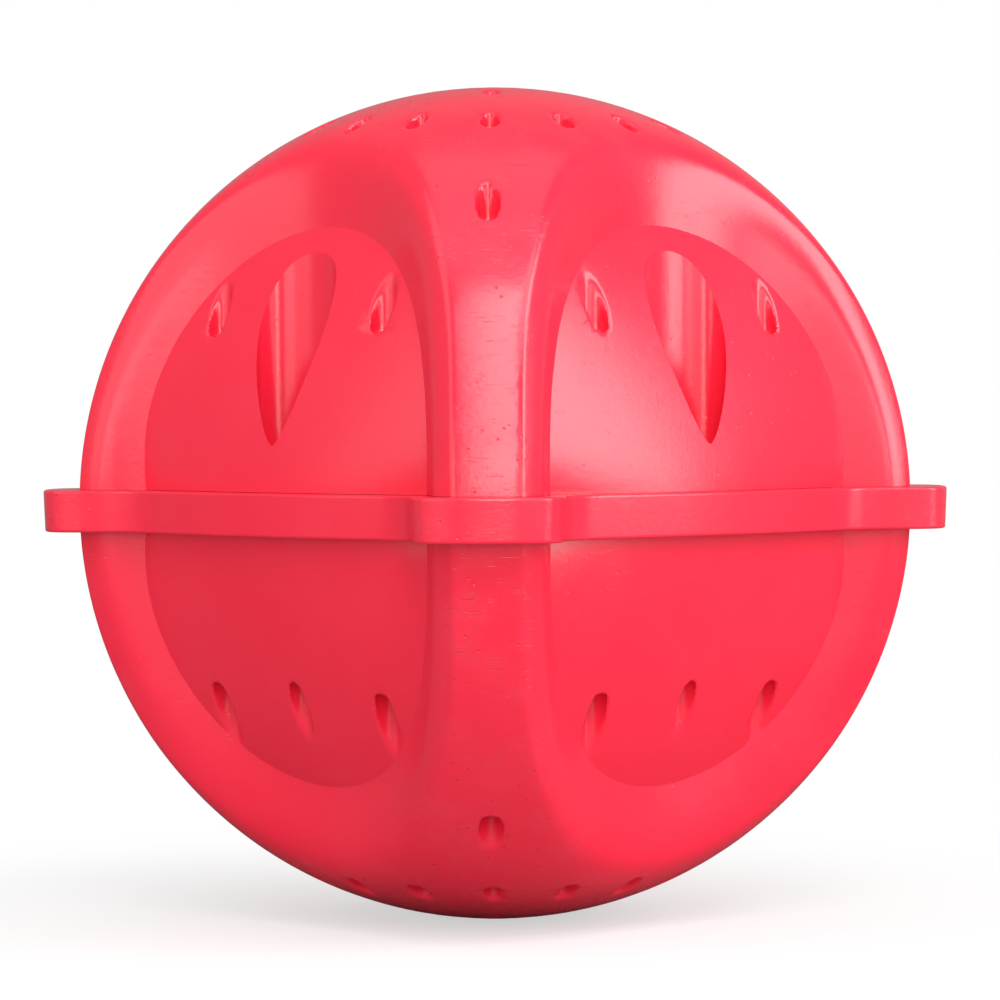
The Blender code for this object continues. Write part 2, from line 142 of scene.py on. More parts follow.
def turnedMesh(outline, segments, material):
    # a closed outline of (radius, height) points in millimetres, turned about Z
    shape = bmesh.new()
    rings = []
    for radius, height in outline:
        if radius == 0:
            rings.append([shape.verts.new((0, 0, height * millimetre))] * segments)
            continue
        ring = []
        for step in range(segments):
            turn = 2 * math.pi * step / segments
            place = (radius * math.cos(turn), radius * math.sin(turn), height)
            ring.append(shape.verts.new([value * millimetre for value in place]))
        rings.append(ring)
    for low, high in zip(rings, rings[1:] + rings[:1]):
        for step in range(segments):
            after = (step + 1) % segments
            corners = list(dict.fromkeys([low[step], low[after], high[after], high[step]]))
            if len(corners) > 2:
                shape.faces.new(corners).smooth = True
    return finishedMesh(shape, "turned", material)


def markPart(mesh, part):
    # numbers a mesh's faces, so the edges where two shapes meet can be told later
    mesh.attributes.new("part", "INT", "FACE").data.foreach_set("value", [part] * len(mesh.polygons))


def cutMesh(base, tool, operation="DIFFERENCE"):
    # one closed mesh cut by another, or joined to it
    if "part" not in base.attributes:
        markPart(base, 0)
    markPart(tool, 1 + max(item.value for item in base.attributes["part"].data))
    body = bpy.data.objects.new("body", base)
    cutter = bpy.data.objects.new("cutter", tool)
    for item in (body, cutter):
        scene.collection.objects.link(item)
    step = body.modifiers.new("cut", "BOOLEAN")
    step.operation = operation
    step.object = cutter
    step.solver = "MANIFOLD"
    mesh = evaluatedMesh(body)
    for item in (body, cutter):
        bpy.data.objects.remove(item)
    return mesh


sharpTurns = {"shell": 45, "core": 32}     # degrees from which an edge is sharp


def crispen(mesh, degrees):
    # sharp edges where the surface turns by more than an angle, and wherever two parts meet
    mesh.set_sharp_from_angle(angle=math.radians(degrees))
    if "part" not in mesh.attributes:
        return
    shape = bmesh.new()
    shape.from_mesh(mesh)
    layer = shape.faces.layers.int["part"]
    for edge in shape.edges:
        if edge.link_faces[0][layer] != edge.link_faces[-1][layer]:
            edge.smooth = False
    shape.faces.layers.int.remove(layer)
    shape.to_mesh(mesh)
    shape.free()


# Materials. Patterns are sized in millimetres on Object coordinates.

def startMaterial(name):
    # an empty material, and the place on the object in millimetres
    material = bpy.data.materials.new(name)
    material.use_nodes = True
    tree = material.node_tree
    tree.nodes.clear()
    coordinates = addNode(tree, "ShaderNodeTexCoord").outputs["Object"]
    place = addNode(tree, "ShaderNodeVectorMath", {"operation": "SCALE"}, {
        0: coordinates, "Scale": 1 / millimetre})
    return material, tree, place


def finishMaterial(tree, settings, colour, roughness, height):
    # the shader, with its fixed values, its colour and roughness, and its height in millimetres as bump
    bump = addNode(tree, "ShaderNodeBump", {}, {"Height": height, "Distance": millimetre, "Strength": 1.0})
    shader = addNode(tree, "ShaderNodeBsdfPrincipled", {}, {
        **settings, "Base Color": colour, "Roughness": roughness, "Normal": bump})
    addNode(tree, "ShaderNodeOutputMaterial", {}, {0: shader})


pvcLook = {  # lengths in millimetres
    "red": "#EA1E3A",
    "paleRed": "#EF2B46",
    "wornRed": "#F04F63",
    # deep red of the painted shade in pits and scuffs
    "markShadeRed": "#A81228",
    "patch": 14.0,              # slow change of tone from the pigment
    "wear": 5.0,                # size of the worn patches
    "wearLevels": (0.46, 0.66),     # noise where wear begins and where it is full
    "rubReach": (38.6, 39.8),   # the same, as the distance from the ball's middle
    "shelteredWear": 0.25,      # share of the wear that the recesses get too
    "wornTint": 0.12,
    "leather": 0.55,            # the fine grain that the mould's skin leaves
    "leatherDepth": 0.014,
    "scuffLength": 1.6,         # short scuffs from tumbling against the drum
    "scuffWidth": 0.16,
    "scuffLevels": (0.60, 0.70),
    "scuffDepth": 0.020,
    "nick": 1.4,                # spacing of small pits
    "nickSize": 0.16,
    "nickFloor": 0.3,           # share of a pit that is its floor
    "nickDepth": 0.05,
    "marksAndShade": 0.45,               # how far pits and scuffs darken: painted shade in them
    "markRoughness": 0.4,
    "roughness": 0.20,
    "wornRoughness": 0.03,
}


def softPvc():
    # plasticised PVC cast in a mould: satin, slightly waxy, with scuffs where the ribs rub, and painted shade
    # in its pits and scuffs
    look = pvcLook
    material, tree, place = startMaterial("cast soft PVC, coral red")
    lying = addNode(tree, "ShaderNodeVectorMath", {"operation": "MULTIPLY"}, {
        0: place, 1: (1 / look["scuffLength"], 1 / look["scuffLength"], 1 / look["scuffWidth"])})
    grains = {
        "patch": {"Vector": place, "Scale": 1 / look["patch"], "Detail": 3.0},
        "worn": {"Vector": place, "Scale": 1 / look["wear"], "Detail": 5.0, "Roughness": 0.65},
        "leather": {"Vector": place, "Scale": 1 / look["leather"], "Detail": 4.0, "Roughness": 0.7},
        "scuff": {"Vector": lying, "Scale": 1.0, "Detail": 2.0, "Distortion": 0.4},
    }
    values = {name: addNode(tree, "ShaderNodeTexNoise", {}, inputs) for name, inputs in grains.items()}
    reach = addNode(tree, "ShaderNodeVectorMath", {"operation": "LENGTH"}, {0: place})
    values["reach"] = reach.outputs["Value"]
    values["nick"] = addNode(tree, "ShaderNodeTexVoronoi", {}, {
        "Vector": place, "Scale": 1 / look["nick"], "Randomness": 1.0}).outputs["Distance"]
    nickEdge = look["nickSize"] / look["nick"]
    nickLevels = (nickEdge, look["nickFloor"] * look["nickSize"] / look["nick"])
    spans = [
        ("reach", look["rubReach"], "SMOOTHSTEP"),
        ("worn", look["wearLevels"], "LINEAR"),
        ("scuff", look["scuffLevels"], "LINEAR"),
        ("nick", nickLevels, "LINEAR"),
    ]
    for name, levels, bend in spans:
        values[name] = addNode(tree, "ShaderNodeMapRange", {"interpolation_type": bend}, {
            0: values[name], 1: levels[0], 2: levels[1]})
    followRecipe(tree, values, [
        ("rubbed", "MULTIPLY_ADD", "reach", 1 - look["shelteredWear"], look["shelteredWear"]),
        ("worn", "MULTIPLY", "worn", "rubbed"),
        ("scuff", "MULTIPLY", "scuff", "worn"),
        ("nick", "MULTIPLY", "nick", "rubbed"),
        ("tint", "MULTIPLY", "worn", look["wornTint"]),
        # painted shade: pits and scuffs get a darker red, as well as more roughness
        ("marksAndShade", "MAXIMUM", "nick", "scuff"),
        ("marksAndShade", "MULTIPLY", "marksAndShade", look["marksAndShade"]),
        ("rough", "MULTIPLY_ADD", "worn", look["wornRoughness"], look["roughness"]),
        ("rough", "MULTIPLY_ADD", "marksAndShade", look["markRoughness"], "rough"),
        ("height", "MULTIPLY", "leather", look["leatherDepth"]),
        ("height", "MULTIPLY_ADD", "scuff", -look["scuffDepth"], "height"),
        ("height", "MULTIPLY_ADD", "nick", -look["nickDepth"], "height"),
    ])
    colour = linear(look["red"])
    # the last tone is the painted shade in pits and scuffs
    for share, tone in (("patch", "paleRed"), ("tint", "wornRed"), ("marksAndShade", "markShadeRed")):
        colour = addNode(tree, "ShaderNodeMix", {"data_type": "RGBA"}, {
            0: values[share], 6: colour, 7: linear(look[tone])}).outputs[2]
    finishMaterial(tree, {"IOR": 1.54, "Specular IOR Level": 0.5}, colour, values["rough"], values["height"])
    return material


mottleLevels = (0.35, 0.65)     # noise where the second tone begins and where it is full


def mottled(name, settings, darkHex, paleHex, grain, depth, roughness, spread):
    # a finish whose tone, gloss and surface vary with one grain size in millimetres
    material, tree, place = startMaterial(name)
    speck = addNode(tree, "ShaderNodeTexNoise", {}, {
        "Vector": place, "Scale": 1 / grain, "Detail": 4.0, "Roughness": 0.6})
    share = addNode(tree, "ShaderNodeMapRange", {}, {
        0: speck, 1: mottleLevels[0], 2: mottleLevels[1]})
    colour = addNode(tree, "ShaderNodeMix", {"data_type": "RGBA"}, {
        0: share, 6: linear(darkHex), 7: linear(paleHex)}).outputs[2]
    values = {"speck": speck, "share": share}
    followRecipe(tree, values, [
        ("rough", "MULTIPLY_ADD", "share", spread, roughness),
        ("height", "MULTIPLY", "speck", depth),
    ])
    finishMaterial(tree, settings, colour, values["rough"], values["height"])
    return material


softRed = softPvc()
coreFinishes = {  # fixed values, two tones, grain and its depth in millimetres, roughness and its spread
    # injection-moulded ABS with a spark-eroded skin, which gives it an even, fine grain
    "moulded ABS, white": ({"IOR": 1.53}, "#E6E5E0", "#EFEEEA", 0.35, 0.006, 0.34, 0.08),
    # pressed nitrile rubber, dull and nearly black
    "pressed nitrile rubber, black": ({"IOR": 1.52}, "#17181A", "#222325", 0.5, 0.008, 0.55, 0.10),
    # sintered ferrite, ground on its faces: dark grey with a faint grain
    "sintered ferrite, ground": ({"IOR": 1.8}, "#26272A", "#3A3B3F", 0.25, 0.010, 0.42, 0.16),
    # cold-rolled steel plated with zinc, with a soft cloudy spangle
    "zinc-plated steel": ({"Metallic": 1.0}, "#A9ADB3", "#C2C6CC", 1.6, 0.002, 0.26, 0.14),
    # stainless steel, cold headed and rolled: smooth and pale, with a soft sheen
    "stainless steel, cold headed": ({"Metallic": 1.0}, "#B4B3B0", "#C9C8C5", 0.8, 0.002, 0.22, 0.12),
    # open-cell polyurethane foam, cut from sheet: dark, dull and coarse
    "polyurethane foam, grey": ({"IOR": 1.5}, "#3C3D40", "#6A6B6F", 0.7, 0.25, 0.85, 0.10),
}
capsuleWhite, sealBlack, ferriteGrey, zincSteel, boltSteel, padFoam = [
    mottled(name, *finish) for name, finish in coreFinishes.items()]
print("materials made")


# The two soft half shells, worked out as one distance field each

shellSizes = {  # millimetres
    "ballRadius": 40.0,
    "recessCentre": 40.0,       # across and along, from the axis to the middle of a recess's round wall
    "recessRadius": 35.2,
    "bevel": 1.75,              # slanted edge of a rib
    "bevelFall": -0.17,         # it runs out toward the crown, above the height where the crown begins
    "crownFrom": 20.0,
    "crownSoftness": 9.0,       # how gently the crown begins
    "bevelEdge": 0.3,           # rounding between the rib's face and its slanted edge
    "bevelEdgeRise": 0.10,
    "rimBlend": 1.4,            # rounding between the slanted edge and the recess
    "rimBlendRise": 0.27,       # how much softer that gets toward the crown
    "panelCentre": -91.2,
    "panelRingRadius": 70.6,
    "panelRiseRadius": 49.4,
    "flattening": -0.035,       # a panel's plan curve flattens with height, per millimetre
    "flattest": 0.66,
    "flatteningSoftness": 0.3,
    "innerRadius": 37.0,        # the panels' own solid ends at this ball, hidden behind the ribs
    "pinBlend": 0.5,            # soft lips of the dimples
}

foldRecipe = [
    ("sideX", "ABSOLUTE", "x"),
    ("sideY", "ABSOLUTE", "y"),
    ("along", "MAXIMUM", "sideX", "sideY"),     # along the nearest rib
    ("across", "MINIMUM", "sideX", "sideY"),    # across it
    ("plan", "LENGTH", "along", "across"),
]

ribRecipe = [
    ("reach", "LENGTH", "plan", "height"),
    ("ball", "SUBTRACT", "reach", "ballRadius"),
    ("wallAlong", "SUBTRACT", "along", "recessCentre"),
    ("wallAcross", "SUBTRACT", "across", "recessCentre"),
    ("wallReach", "LENGTH", "wallAlong", "wallAcross"),
    ("rib", "SUBTRACT", "recessRadius", "wallReach"),
    ("late", "SUBTRACT", "height", "crownFrom"),
    ("late", "SMOOTH_MAX", "late", 0.0, "crownSoftness"),
    ("width", "MULTIPLY_ADD", "bevelFall", "late", "bevel"),
    ("corner", "ADD", "ball", "rib"),
    ("corner", "ADD", "corner", "width"),
    ("slant", "MULTIPLY", "corner", math.sqrt(0.5)),
    ("edge", "MULTIPLY_ADD", "bevelEdgeRise", "late", "bevelEdge"),
    ("face", "SMOOTH_MAX", "ball", "slant", "edge"),
    ("rim", "MULTIPLY_ADD", "rimBlendRise", "late", "rimBlend"),
    ("half", "SMOOTH_MAX", "face", "rib", "rim"),
]

panelRecipe = [
    ("reach", "LENGTH", "plan", "height"),
    ("inner", "SUBTRACT", "reach", "innerRadius"),
    ("diagonalSum", "ADD", "along", "across"),
    ("panelOut", "MULTIPLY", "diagonalSum", math.sqrt(0.5)),
    ("diagonalStep", "SUBTRACT", "along", "across"),
    ("panelSide", "MULTIPLY", "diagonalStep", math.sqrt(0.5)),
    ("fromCentre", "SUBTRACT", "panelOut", "panelCentre"),
    ("sideShare", "MULTIPLY_ADD", "height", "flattening", 1.0),
    ("sideShare", "SMOOTH_MAX", "sideShare", "flattest", "flatteningSoftness"),
    ("flatSide", "MULTIPLY", "panelSide", "sideShare"),
    ("panelPlan", "LENGTH", "fromCentre", "flatSide"),
    ("panelRing", "SUBTRACT", "panelPlan", "panelRingRadius"),
    ("panelReach", "LENGTH", "panelRing", "height"),
    ("panel", "SUBTRACT", "panelReach", "panelRiseRadius"),
    ("half", "MAXIMUM", "panel", "inner"),
]

# dimples that the mould's pins leave: degrees from the nearest rib, plan radius, half width and half length
ribPins = {
    "pole": (0, 8.8, 0.8, 1.5),
    "crownOverRib": (0, 17.8, 0.85, 1.6),
    "crownBetween": (22.5, 17.8, 0.85, 1.6),
    "crownOverPanel": (45, 17.8, 0.85, 1.6),
}
upperRibPins = dict(ribPins, rib=(0, 28.7, 1.05, 1.75))
lowerRibPins = dict(ribPins, rib=(0, 27.4, 1.1, 1.75))
upperPanelPins = {"panel": (20.4, 27.35, 1.2, 1.05)}
lowerPanelPins = {"panel": (20.2, 26.95, 1.15, 1.3), "panelMiddle": (45, 25.05, 1.0, 1.05)}
pinSizes = {"foot": 0.9, "depth": 0.45}     # the round end, and how far it reaches below the outer lip


def lipHeight(angle, radius, halfLength):
    # height of the half's surface at a dimple's outer lip
    size = shellSizes
    lip = radius + halfLength
    turn = math.radians(angle)
    along, across = lip * math.cos(turn), lip * math.sin(turn)
    if math.hypot(along - size["recessCentre"], across - size["recessCentre"]) > size["recessRadius"]:
        return math.sqrt(size["ballRadius"] ** 2 - lip ** 2)
    offset = math.radians(45 - angle)
    flatSide = lip * math.sin(offset) * size["flattest"]
    fromCentre = math.hypot(lip * math.cos(offset) - size["panelCentre"], flatSide)
    return math.sqrt(size["panelRiseRadius"] ** 2 - (fromCentre - size["panelRingRadius"]) ** 2)


def pinRecipe(name, angle, radius, halfWidth, halfLength):
    # an upright pin with an oval section and a round foot, taken out of the half
    cosine = math.cos(math.radians(angle))
    sine = math.sin(math.radians(angle))
    footTop = lipHeight(angle, radius, halfLength) - pinSizes["depth"] + pinSizes["foot"]
    return [
        (name + "AlongPart", "MULTIPLY", "along", cosine),
        (name + "Out", "MULTIPLY_ADD", "across", sine, name + "AlongPart"),
        (name + "OutPart", "MULTIPLY_ADD", name + "Out", 1 / halfLength, -radius / halfLength),
        (name + "AcrossPart", "MULTIPLY", "across", cosine / halfWidth),
        (name + "SidePart", "MULTIPLY_ADD", "along", -sine / halfWidth, name + "AcrossPart"),
        (name + "Drop", "SUBTRACT", "height", footTop),
        (name + "Foot", "MINIMUM", name + "Drop", 0.0),
        (name + "FootPart", "DIVIDE", name + "Foot", pinSizes["foot"]),
        (name + "Round", "LENGTH", name + "OutPart", name + "SidePart", name + "FootPart"),
        (name + "Left", "MULTIPLY_ADD", name + "Round", -halfWidth, halfWidth),
        ("half", "SMOOTH_MAX", "half", name + "Left", "pinBlend"),
    ]


def fieldTree(name, recipe, side):
    # a group that gives the distance from any point to the shell's surface, negative inside
    sizeKinds = dict.fromkeys(shellSizes, "Float")
    tree, given = startTree(name, {"Point": "Vector", **sizeKinds}, {"Distance": "Float"})
    point = addNode(tree, "ShaderNodeSeparateXYZ", {}, {0: given["Point"]})
    values = {size: given[size] for size in shellSizes}
    values.update({"x": point.outputs[0], "y": point.outputs[1], "z": point.outputs[2]})
    followRecipe(tree, values, [("height", "MULTIPLY", "z", side)] + foldRecipe + recipe)
    addNode(tree, "NodeGroupOutput", {}, {0: values["half"]})
    return tree


skinSizes = {  # millimetres
    "voxel": 0.25,
    "reach": 41.2,              # the box that holds a half
    "past": 0.8,                # how far it runs past the ball's middle
    "adaptivity": 0.002,
    "slopeStep": 0.02,          # the step that measures the field's slope
    "settlings": 2,             # how often each point is moved onto the surface
}


def shellTree(name, field, low, high, material):
    # fills a box with the field, skins it, and settles each point onto the true surface
    skin = skinSizes
    tree, given = startTree(name, dict.fromkeys(shellSizes, "Float"), {"Geometry": "Geometry"})
    place = addNode(tree, "GeometryNodeInputPosition")
    sizeLinks = {size: given[size] for size in shellSizes}

    def distanceAt(point):
        return addNode(tree, "GeometryNodeGroup", {"node_tree": field}, {"Point": point, **sizeLinks})

    counts = [int((high[axis] - low[axis]) / skin["voxel"]) for axis in range(3)]
    density = addNode(tree, "ShaderNodeMath", {"operation": "MULTIPLY"}, {0: distanceAt(place), 1: -1.0})
    volume = addNode(tree, "GeometryNodeVolumeCube", {}, {
        "Density": density, "Background": -1.0, "Min": low, "Max": high,
        "Resolution X": counts[0], "Resolution Y": counts[1], "Resolution Z": counts[2]})
    shape = addNode(tree, "GeometryNodeVolumeToMesh", {}, {
        "Volume": volume, "Threshold": 0.0, "Adaptivity": skin["adaptivity"]})
    for settling in range(skin["settlings"]):
        values = {"here": distanceAt(place)}
        slopes = {}
        for axis in range(3):
            offset = [skin["slopeStep"] if axis == other else 0.0 for other in range(3)]
            beside = addNode(tree, "ShaderNodeVectorMath", {"operation": "ADD"}, {0: place, 1: offset})
            values["beside"] = distanceAt(beside)
            followRecipe(tree, values, [
                ("rise", "SUBTRACT", "beside", "here"),
                ("slope", "DIVIDE", "rise", skin["slopeStep"]),
            ])
            slopes[axis] = values["slope"]
        slope = addNode(tree, "ShaderNodeCombineXYZ", {}, slopes)
        steep = addNode(tree, "ShaderNodeVectorMath", {"operation": "DOT_PRODUCT"}, {0: slope, 1: slope})
        values["steep"] = steep.outputs["Value"]
        followRecipe(tree, values, [
            ("share", "DIVIDE", "here", "steep"),
            ("move", "MULTIPLY", "share", -1.0),
        ])
        shift = addNode(tree, "ShaderNodeVectorMath", {"operation": "SCALE"}, {
            0: slope, "Scale": values["move"]})
        shape = addNode(tree, "GeometryNodeSetPosition", {}, {"Geometry": shape, "Offset": shift})
    scaled = addNode(tree, "GeometryNodeTransform", {}, {"Geometry": shape, "Scale": [millimetre] * 3})
    smooth = addNode(tree, "GeometryNodeSetShadeSmooth", {}, {"Geometry": scaled})
    finished = addNode(tree, "GeometryNodeSetMaterial", {}, {"Geometry": smooth, "Material": material})
    addNode(tree, "NodeGroupOutput", {}, {0: finished})
    return tree


def grownHalf(name, recipe, pins, side):
    # the ribbed body or the panels of a half, with its dimples
    rows = list(recipe)
    for pin, values in pins.items():
        rows += pinRecipe(pin, *values)
    reach = skinSizes["reach"]
    low, high = sorted((-skinSizes["past"] * side, reach * side))
    field = fieldTree(name + " field", rows, side)
    grown = shellTree(name, field, (-reach, -reach, low), (reach, reach, high), softRed)
    mesh = grownFromTree(grown, shellSizes)
    print(name, "grown,", len(mesh.polygons), "faces")
    return mesh


upperMesh = cutMesh(grownHalf("upper ribs", ribRecipe, upperRibPins, 1.0),
                    grownHalf("upper panels", panelRecipe, upperPanelPins, 1.0), "UNION")
lowerMesh = cutMesh(grownHalf("lower ribs", ribRecipe, lowerRibPins, -1.0),
                    grownHalf("lower panels", panelRecipe, lowerPanelPins, -1.0), "UNION")


flangeSizes = {  # millimetres
    "ledgeRadius": 122.2,       # the bowed ledge along a panel, about the same axis as the panel
    "lobeEnd": 43.5,
    "lobeHalfWidth": 6.8,
    "lobeBlend": 6.4,           # rounded corners of a lobe
    "rootBlend": 4.6,           # fillet where it leaves the ledge
    "bottom": -2.5,
    "top": 1.5,
    "edge": 0.22,               # rounded edge
    "draft": 0.14,              # how far the side leans in towards the bottom
    "support": 0.06,            # narrow band beside it, so the flat faces shade flat
    "spacing": 0.3,
    "least": 30.0,              # the outline is looked for between these plan radii
    "most": 45.0,
    "halvings": 30,
    "perDegree": 20,            # points looked for
}


def smoothMost(first, second, width):
    # the larger of two numbers, rounded over where they cross
    share = max(width - abs(first - second), 0.0) / width
    return max(first, second) + share ** 3 * width / 6


def flangeReach(turn):
    # plan radius of the flange's outline at a turn between a rib and the middle of a panel
    size = flangeSizes
    low, high = size["least"], size["most"]
    for step in range(size["halvings"]):
        reach = (low + high) / 2
        along, across = reach * math.cos(turn), reach * math.sin(turn)
        fromCentre = (along + across) * math.sqrt(0.5) - shellSizes["panelCentre"]
        ledge = math.hypot(fromCentre, (along - across) * math.sqrt(0.5)) - size["ledgeRadius"]
        lobe = smoothMost(across - size["lobeHalfWidth"], reach - size["lobeEnd"], size["lobeBlend"])
        if -smoothMost(-ledge, -lobe, size["rootBlend"]) > 0:
            high = reach
        else:
            low = reach
    return reach


def flangeOutline():
    # the outline as evenly spaced points
    turns = [step / flangeSizes["perDegree"] for step in range(45 * flangeSizes["perDegree"] + 1)]
    eighth = [(turn, flangeReach(math.radians(turn))) for turn in turns]
    quarter = eighth + [(90 - turn, reach) for turn, reach in eighth[-2:0:-1]]
    fine = []
    for corner in range(4):
        for turn, reach in quarter:
            angle = math.radians(turn + 90 * corner)
            fine.append(Vector((reach * math.cos(angle), reach * math.sin(angle))))
    points = [fine[0]]
    for place in fine:
        if (place - points[-1]).length > flangeSizes["spacing"]:
            points.append(place)
    return points


def flangePlate():
    size = flangeSizes
    points = flangeOutline()
    inward = []
    for step in range(len(points)):
        run = (points[(step + 1) % len(points)] - points[step - 1]).normalized()
        inward.append(Vector((-run.y, run.x)))
    corner = []
    for angle in (0, 30, 60, 90):
        bend = math.radians(angle)
        corner.append((size["edge"] * (1 - math.sin(bend)), size["edge"] * (1 - math.cos(bend))))
    corner = [(size["edge"] + size["support"], 0.0)] + corner + [(0.0, size["edge"] + size["support"])]
    profile = [(size["draft"] + inset, size["bottom"] + rise) for inset, rise in corner]
    profile += [(inset, size["top"] - rise) for inset, rise in reversed(corner)]
    rings = []
    for inset, height in profile:
        spots = [place + inner * inset for place, inner in zip(points, inward)]
        rings.append([(spot.x, spot.y, height) for spot in spots])
    shape = bmesh.new()
    addTube(shape, rings)
    for face in shape.faces:
        face.smooth = True
    return finishedMesh(shape, "flange", softRed)


pocketSizes = {  # millimetres
    "centre": 25.6,
    "throat": 5.7,
    "width": 9.2,
    "floor": 4.4,
    "top": 34.0,
    "outer": 1.72,              # 2 is an oval, less is more pointed
    "inner": 2.3,
    "segments": 72,
}


def pocketCores():
    # upright cores with a pointed oval section
    size = pocketSizes
    section = []
    for step in range(size["segments"]):
        angle = 2 * math.pi * step / size["segments"]
        power = 2 / (size["outer"] if math.cos(angle) > 0 else size["inner"])
        out = math.copysign(abs(math.cos(angle)) ** power, math.cos(angle))
        side = math.copysign(abs(math.sin(angle)) ** power, math.sin(angle))
        section.append((size["centre"] + size["throat"] / 2 * out, size["width"] / 2 * side))
    shape = bmesh.new()
    for quarter in range(4):
        turn = math.radians(45 + 90 * quarter)
        places = [(out * math.cos(turn) - side * math.sin(turn), out * math.sin(turn) + side * math.cos(turn))
                  for out, side in section]
        addTube(shape, [[(*place, height) for place in places] for height in (size["floor"], size["top"])])
    return finishedMesh(shape, "pocket cores", softRed)


cavitySizes = {  # millimetres
    "radius": 18.3,
    "top": 24.85,
    "bottom": -22.85,
    "spigotRadius": 21.3,
    "spigotEnd": -2.5,
    "spigotRoot": 4.0,          # how far up it runs inside the shell
    "spigotBite": 1.2,          # and how far in past the cavity's wall
    "gap": 0.3,
    "edge": 0.4,                # chamfers inside
    "round": 1.2,
    "roundMiddle": 0.3,         # where the middle of that round lies, as a share of it
    "past": 10.0,               # how far the cutters run out
    "blockRadius": 60.0,
    "blockSides": 8,
    "seam": 1.53,               # the upper shell's lower face
    "overlap": 1.0,             # how far the lower half runs into the flange
    "segments": 128,
}


def spigotRing():
    size = cavitySizes
    inner, outer, end = size["radius"] - size["spigotBite"], size["spigotRadius"], size["spigotEnd"]
    return turnedMesh([(inner, end), (outer - size["edge"], end), (outer, end + size["edge"]),
                       (outer, size["spigotRoot"]), (inner, size["spigotRoot"])], size["segments"], softRed)


def upperRoom():
    size = cavitySizes
    radius, top, middle = size["radius"], size["top"], size["roundMiddle"] * size["round"]
    mouth = radius + size["edge"]
    return turnedMesh([(0, -size["past"]), (mouth, -size["past"]), (mouth, size["spigotEnd"]),
                       (radius, size["spigotEnd"] + size["edge"]), (radius, top - size["round"]),
                       (radius - middle, top - middle), (radius - size["round"], top), (0, top)],
                      size["segments"], softRed)


def lowerRoom():
    size = cavitySizes
    radius, bottom, middle = size["radius"], size["bottom"], size["roundMiddle"] * size["round"]
    seat, seatEnd = size["spigotRadius"] + size["gap"], size["spigotEnd"] - size["gap"]
    mouth, edge = flangeSizes["top"], size["edge"]
    return turnedMesh([(0, bottom), (radius - size["round"], bottom), (radius - middle, bottom + middle),
                       (radius, bottom + size["round"]), (radius, seatEnd - edge), (radius + edge, seatEnd),
                       (seat, seatEnd), (seat, mouth - edge), (seat + edge, mouth),
                       (seat + edge, size["past"]), (0, size["past"])], size["segments"], softRed)


def levelBlock(bottom, top):
    # takes away all that lies between two heights
    size = cavitySizes
    reach = size["blockRadius"]
    return turnedMesh([(0, bottom), (reach, bottom), (reach, top), (0, top)], size["blockSides"], softRed)


upperMesh = cutMesh(upperMesh, levelBlock(-cavitySizes["past"], cavitySizes["seam"]))
upperMesh = cutMesh(cutMesh(upperMesh, spigotRing(), "UNION"), upperRoom())
upperMesh = cutMesh(upperMesh, pocketCores())
lowerMesh = cutMesh(lowerMesh, levelBlock(-cavitySizes["overlap"], cavitySizes["past"]))
lowerMesh = cutMesh(cutMesh(lowerMesh, flangePlate(), "UNION"), lowerRoom())
for mesh in (upperMesh, lowerMesh):
    crispen(mesh, sharpTurns["shell"])
print("cavities and pockets cut:", len(upperMesh.polygons), "and", len(lowerMesh.polygons), "faces")
addPiece("upperShell", upperMesh, "upper_half", ["upper_shell"])
addPiece("lowerShell", lowerMesh, "lower_half", ["lower_shell"])


# The sealed core

capsuleSizes = {  # millimetres
    "radius": 18.0,
    "bore": 16.3,
    "bottom": -22.55,
    "floor": -20.55,
    "rim": 18.55,
    "edge": 1.5,
    "rimEdge": 0.25,
    "boreEdge": 0.2,
    "floorEdge": 0.6,
    "footRadius": 12.0,
    "footDepth": 0.35,
    "bandHeight": 14.9,         # shallow groove under the rim
    "bandWidth": 0.9,
    "bandDepth": 0.35,
    "sealBottom": 18.85,
    "sealTop": 19.85,
    "sealEdge": 0.3,
    "lidSpigot": 16.0,
    "lidBore": 14.0,
    "lidSpigotEnd": 17.25,
    "lidFace": 20.15,
    "lidCeiling": 22.55,
    "lidTop": 24.55,
    "spigotEdge": 0.3,
    "faceEdge": 0.15,
    "dishRadius": 3.2,          # shallow dish round the stub that the mould's gate leaves
    "dishDepth": 0.3,
    "gateRadius": 1.0,
    "gateEdge": 0.2,
    "gripCount": 48,
    "gripRadius": 0.55,
    "gripDepth": 0.30,
    "gripTop": 22.7,
    "gripRun": 1.0,             # how far the rods run out below the lid's face
    "gripSides": 20,
    "segments": 144,
}


def roundedCorner(centre, radius, start, end, steps=5):
    # points of an arc in the (radius, height) plane, from one angle in degrees to another
    points = []
    for step in range(steps + 1):
        angle = math.radians(start + (end - start) * step / steps)
        points.append((centre[0] + radius * math.cos(angle), centre[1] + radius * math.sin(angle)))
    return points


def capsuleCup():
    size = capsuleSizes
    outer, edge, bore = size["radius"], size["edge"], size["bore"]
    foot = size["bottom"] + size["footDepth"]
    groove, band, half = outer - size["bandDepth"], size["bandHeight"], size["bandWidth"] / 2
    outline = [(0, foot), (size["footRadius"], foot),
               (size["footRadius"] + size["footDepth"], size["bottom"])]
    outline += roundedCorner((outer - edge, size["bottom"] + edge), edge, -90, 0)
    outline += [(outer, band - half), (groove, band - 0.5 * half), (groove, band + 0.5 * half),
                (outer, band + half)]
    rim = size["rimEdge"]
    outline += roundedCorner((outer - rim, size["rim"] - rim), rim, 0, 90, 3)
    outline += [(bore + size["boreEdge"], size["rim"]), (bore, size["rim"] - size["boreEdge"]),
                (bore, size["floor"] + size["floorEdge"]), (bore - size["floorEdge"], size["floor"]),
                (0, size["floor"])]
    return turnedMesh(outline, size["segments"], capsuleWhite)


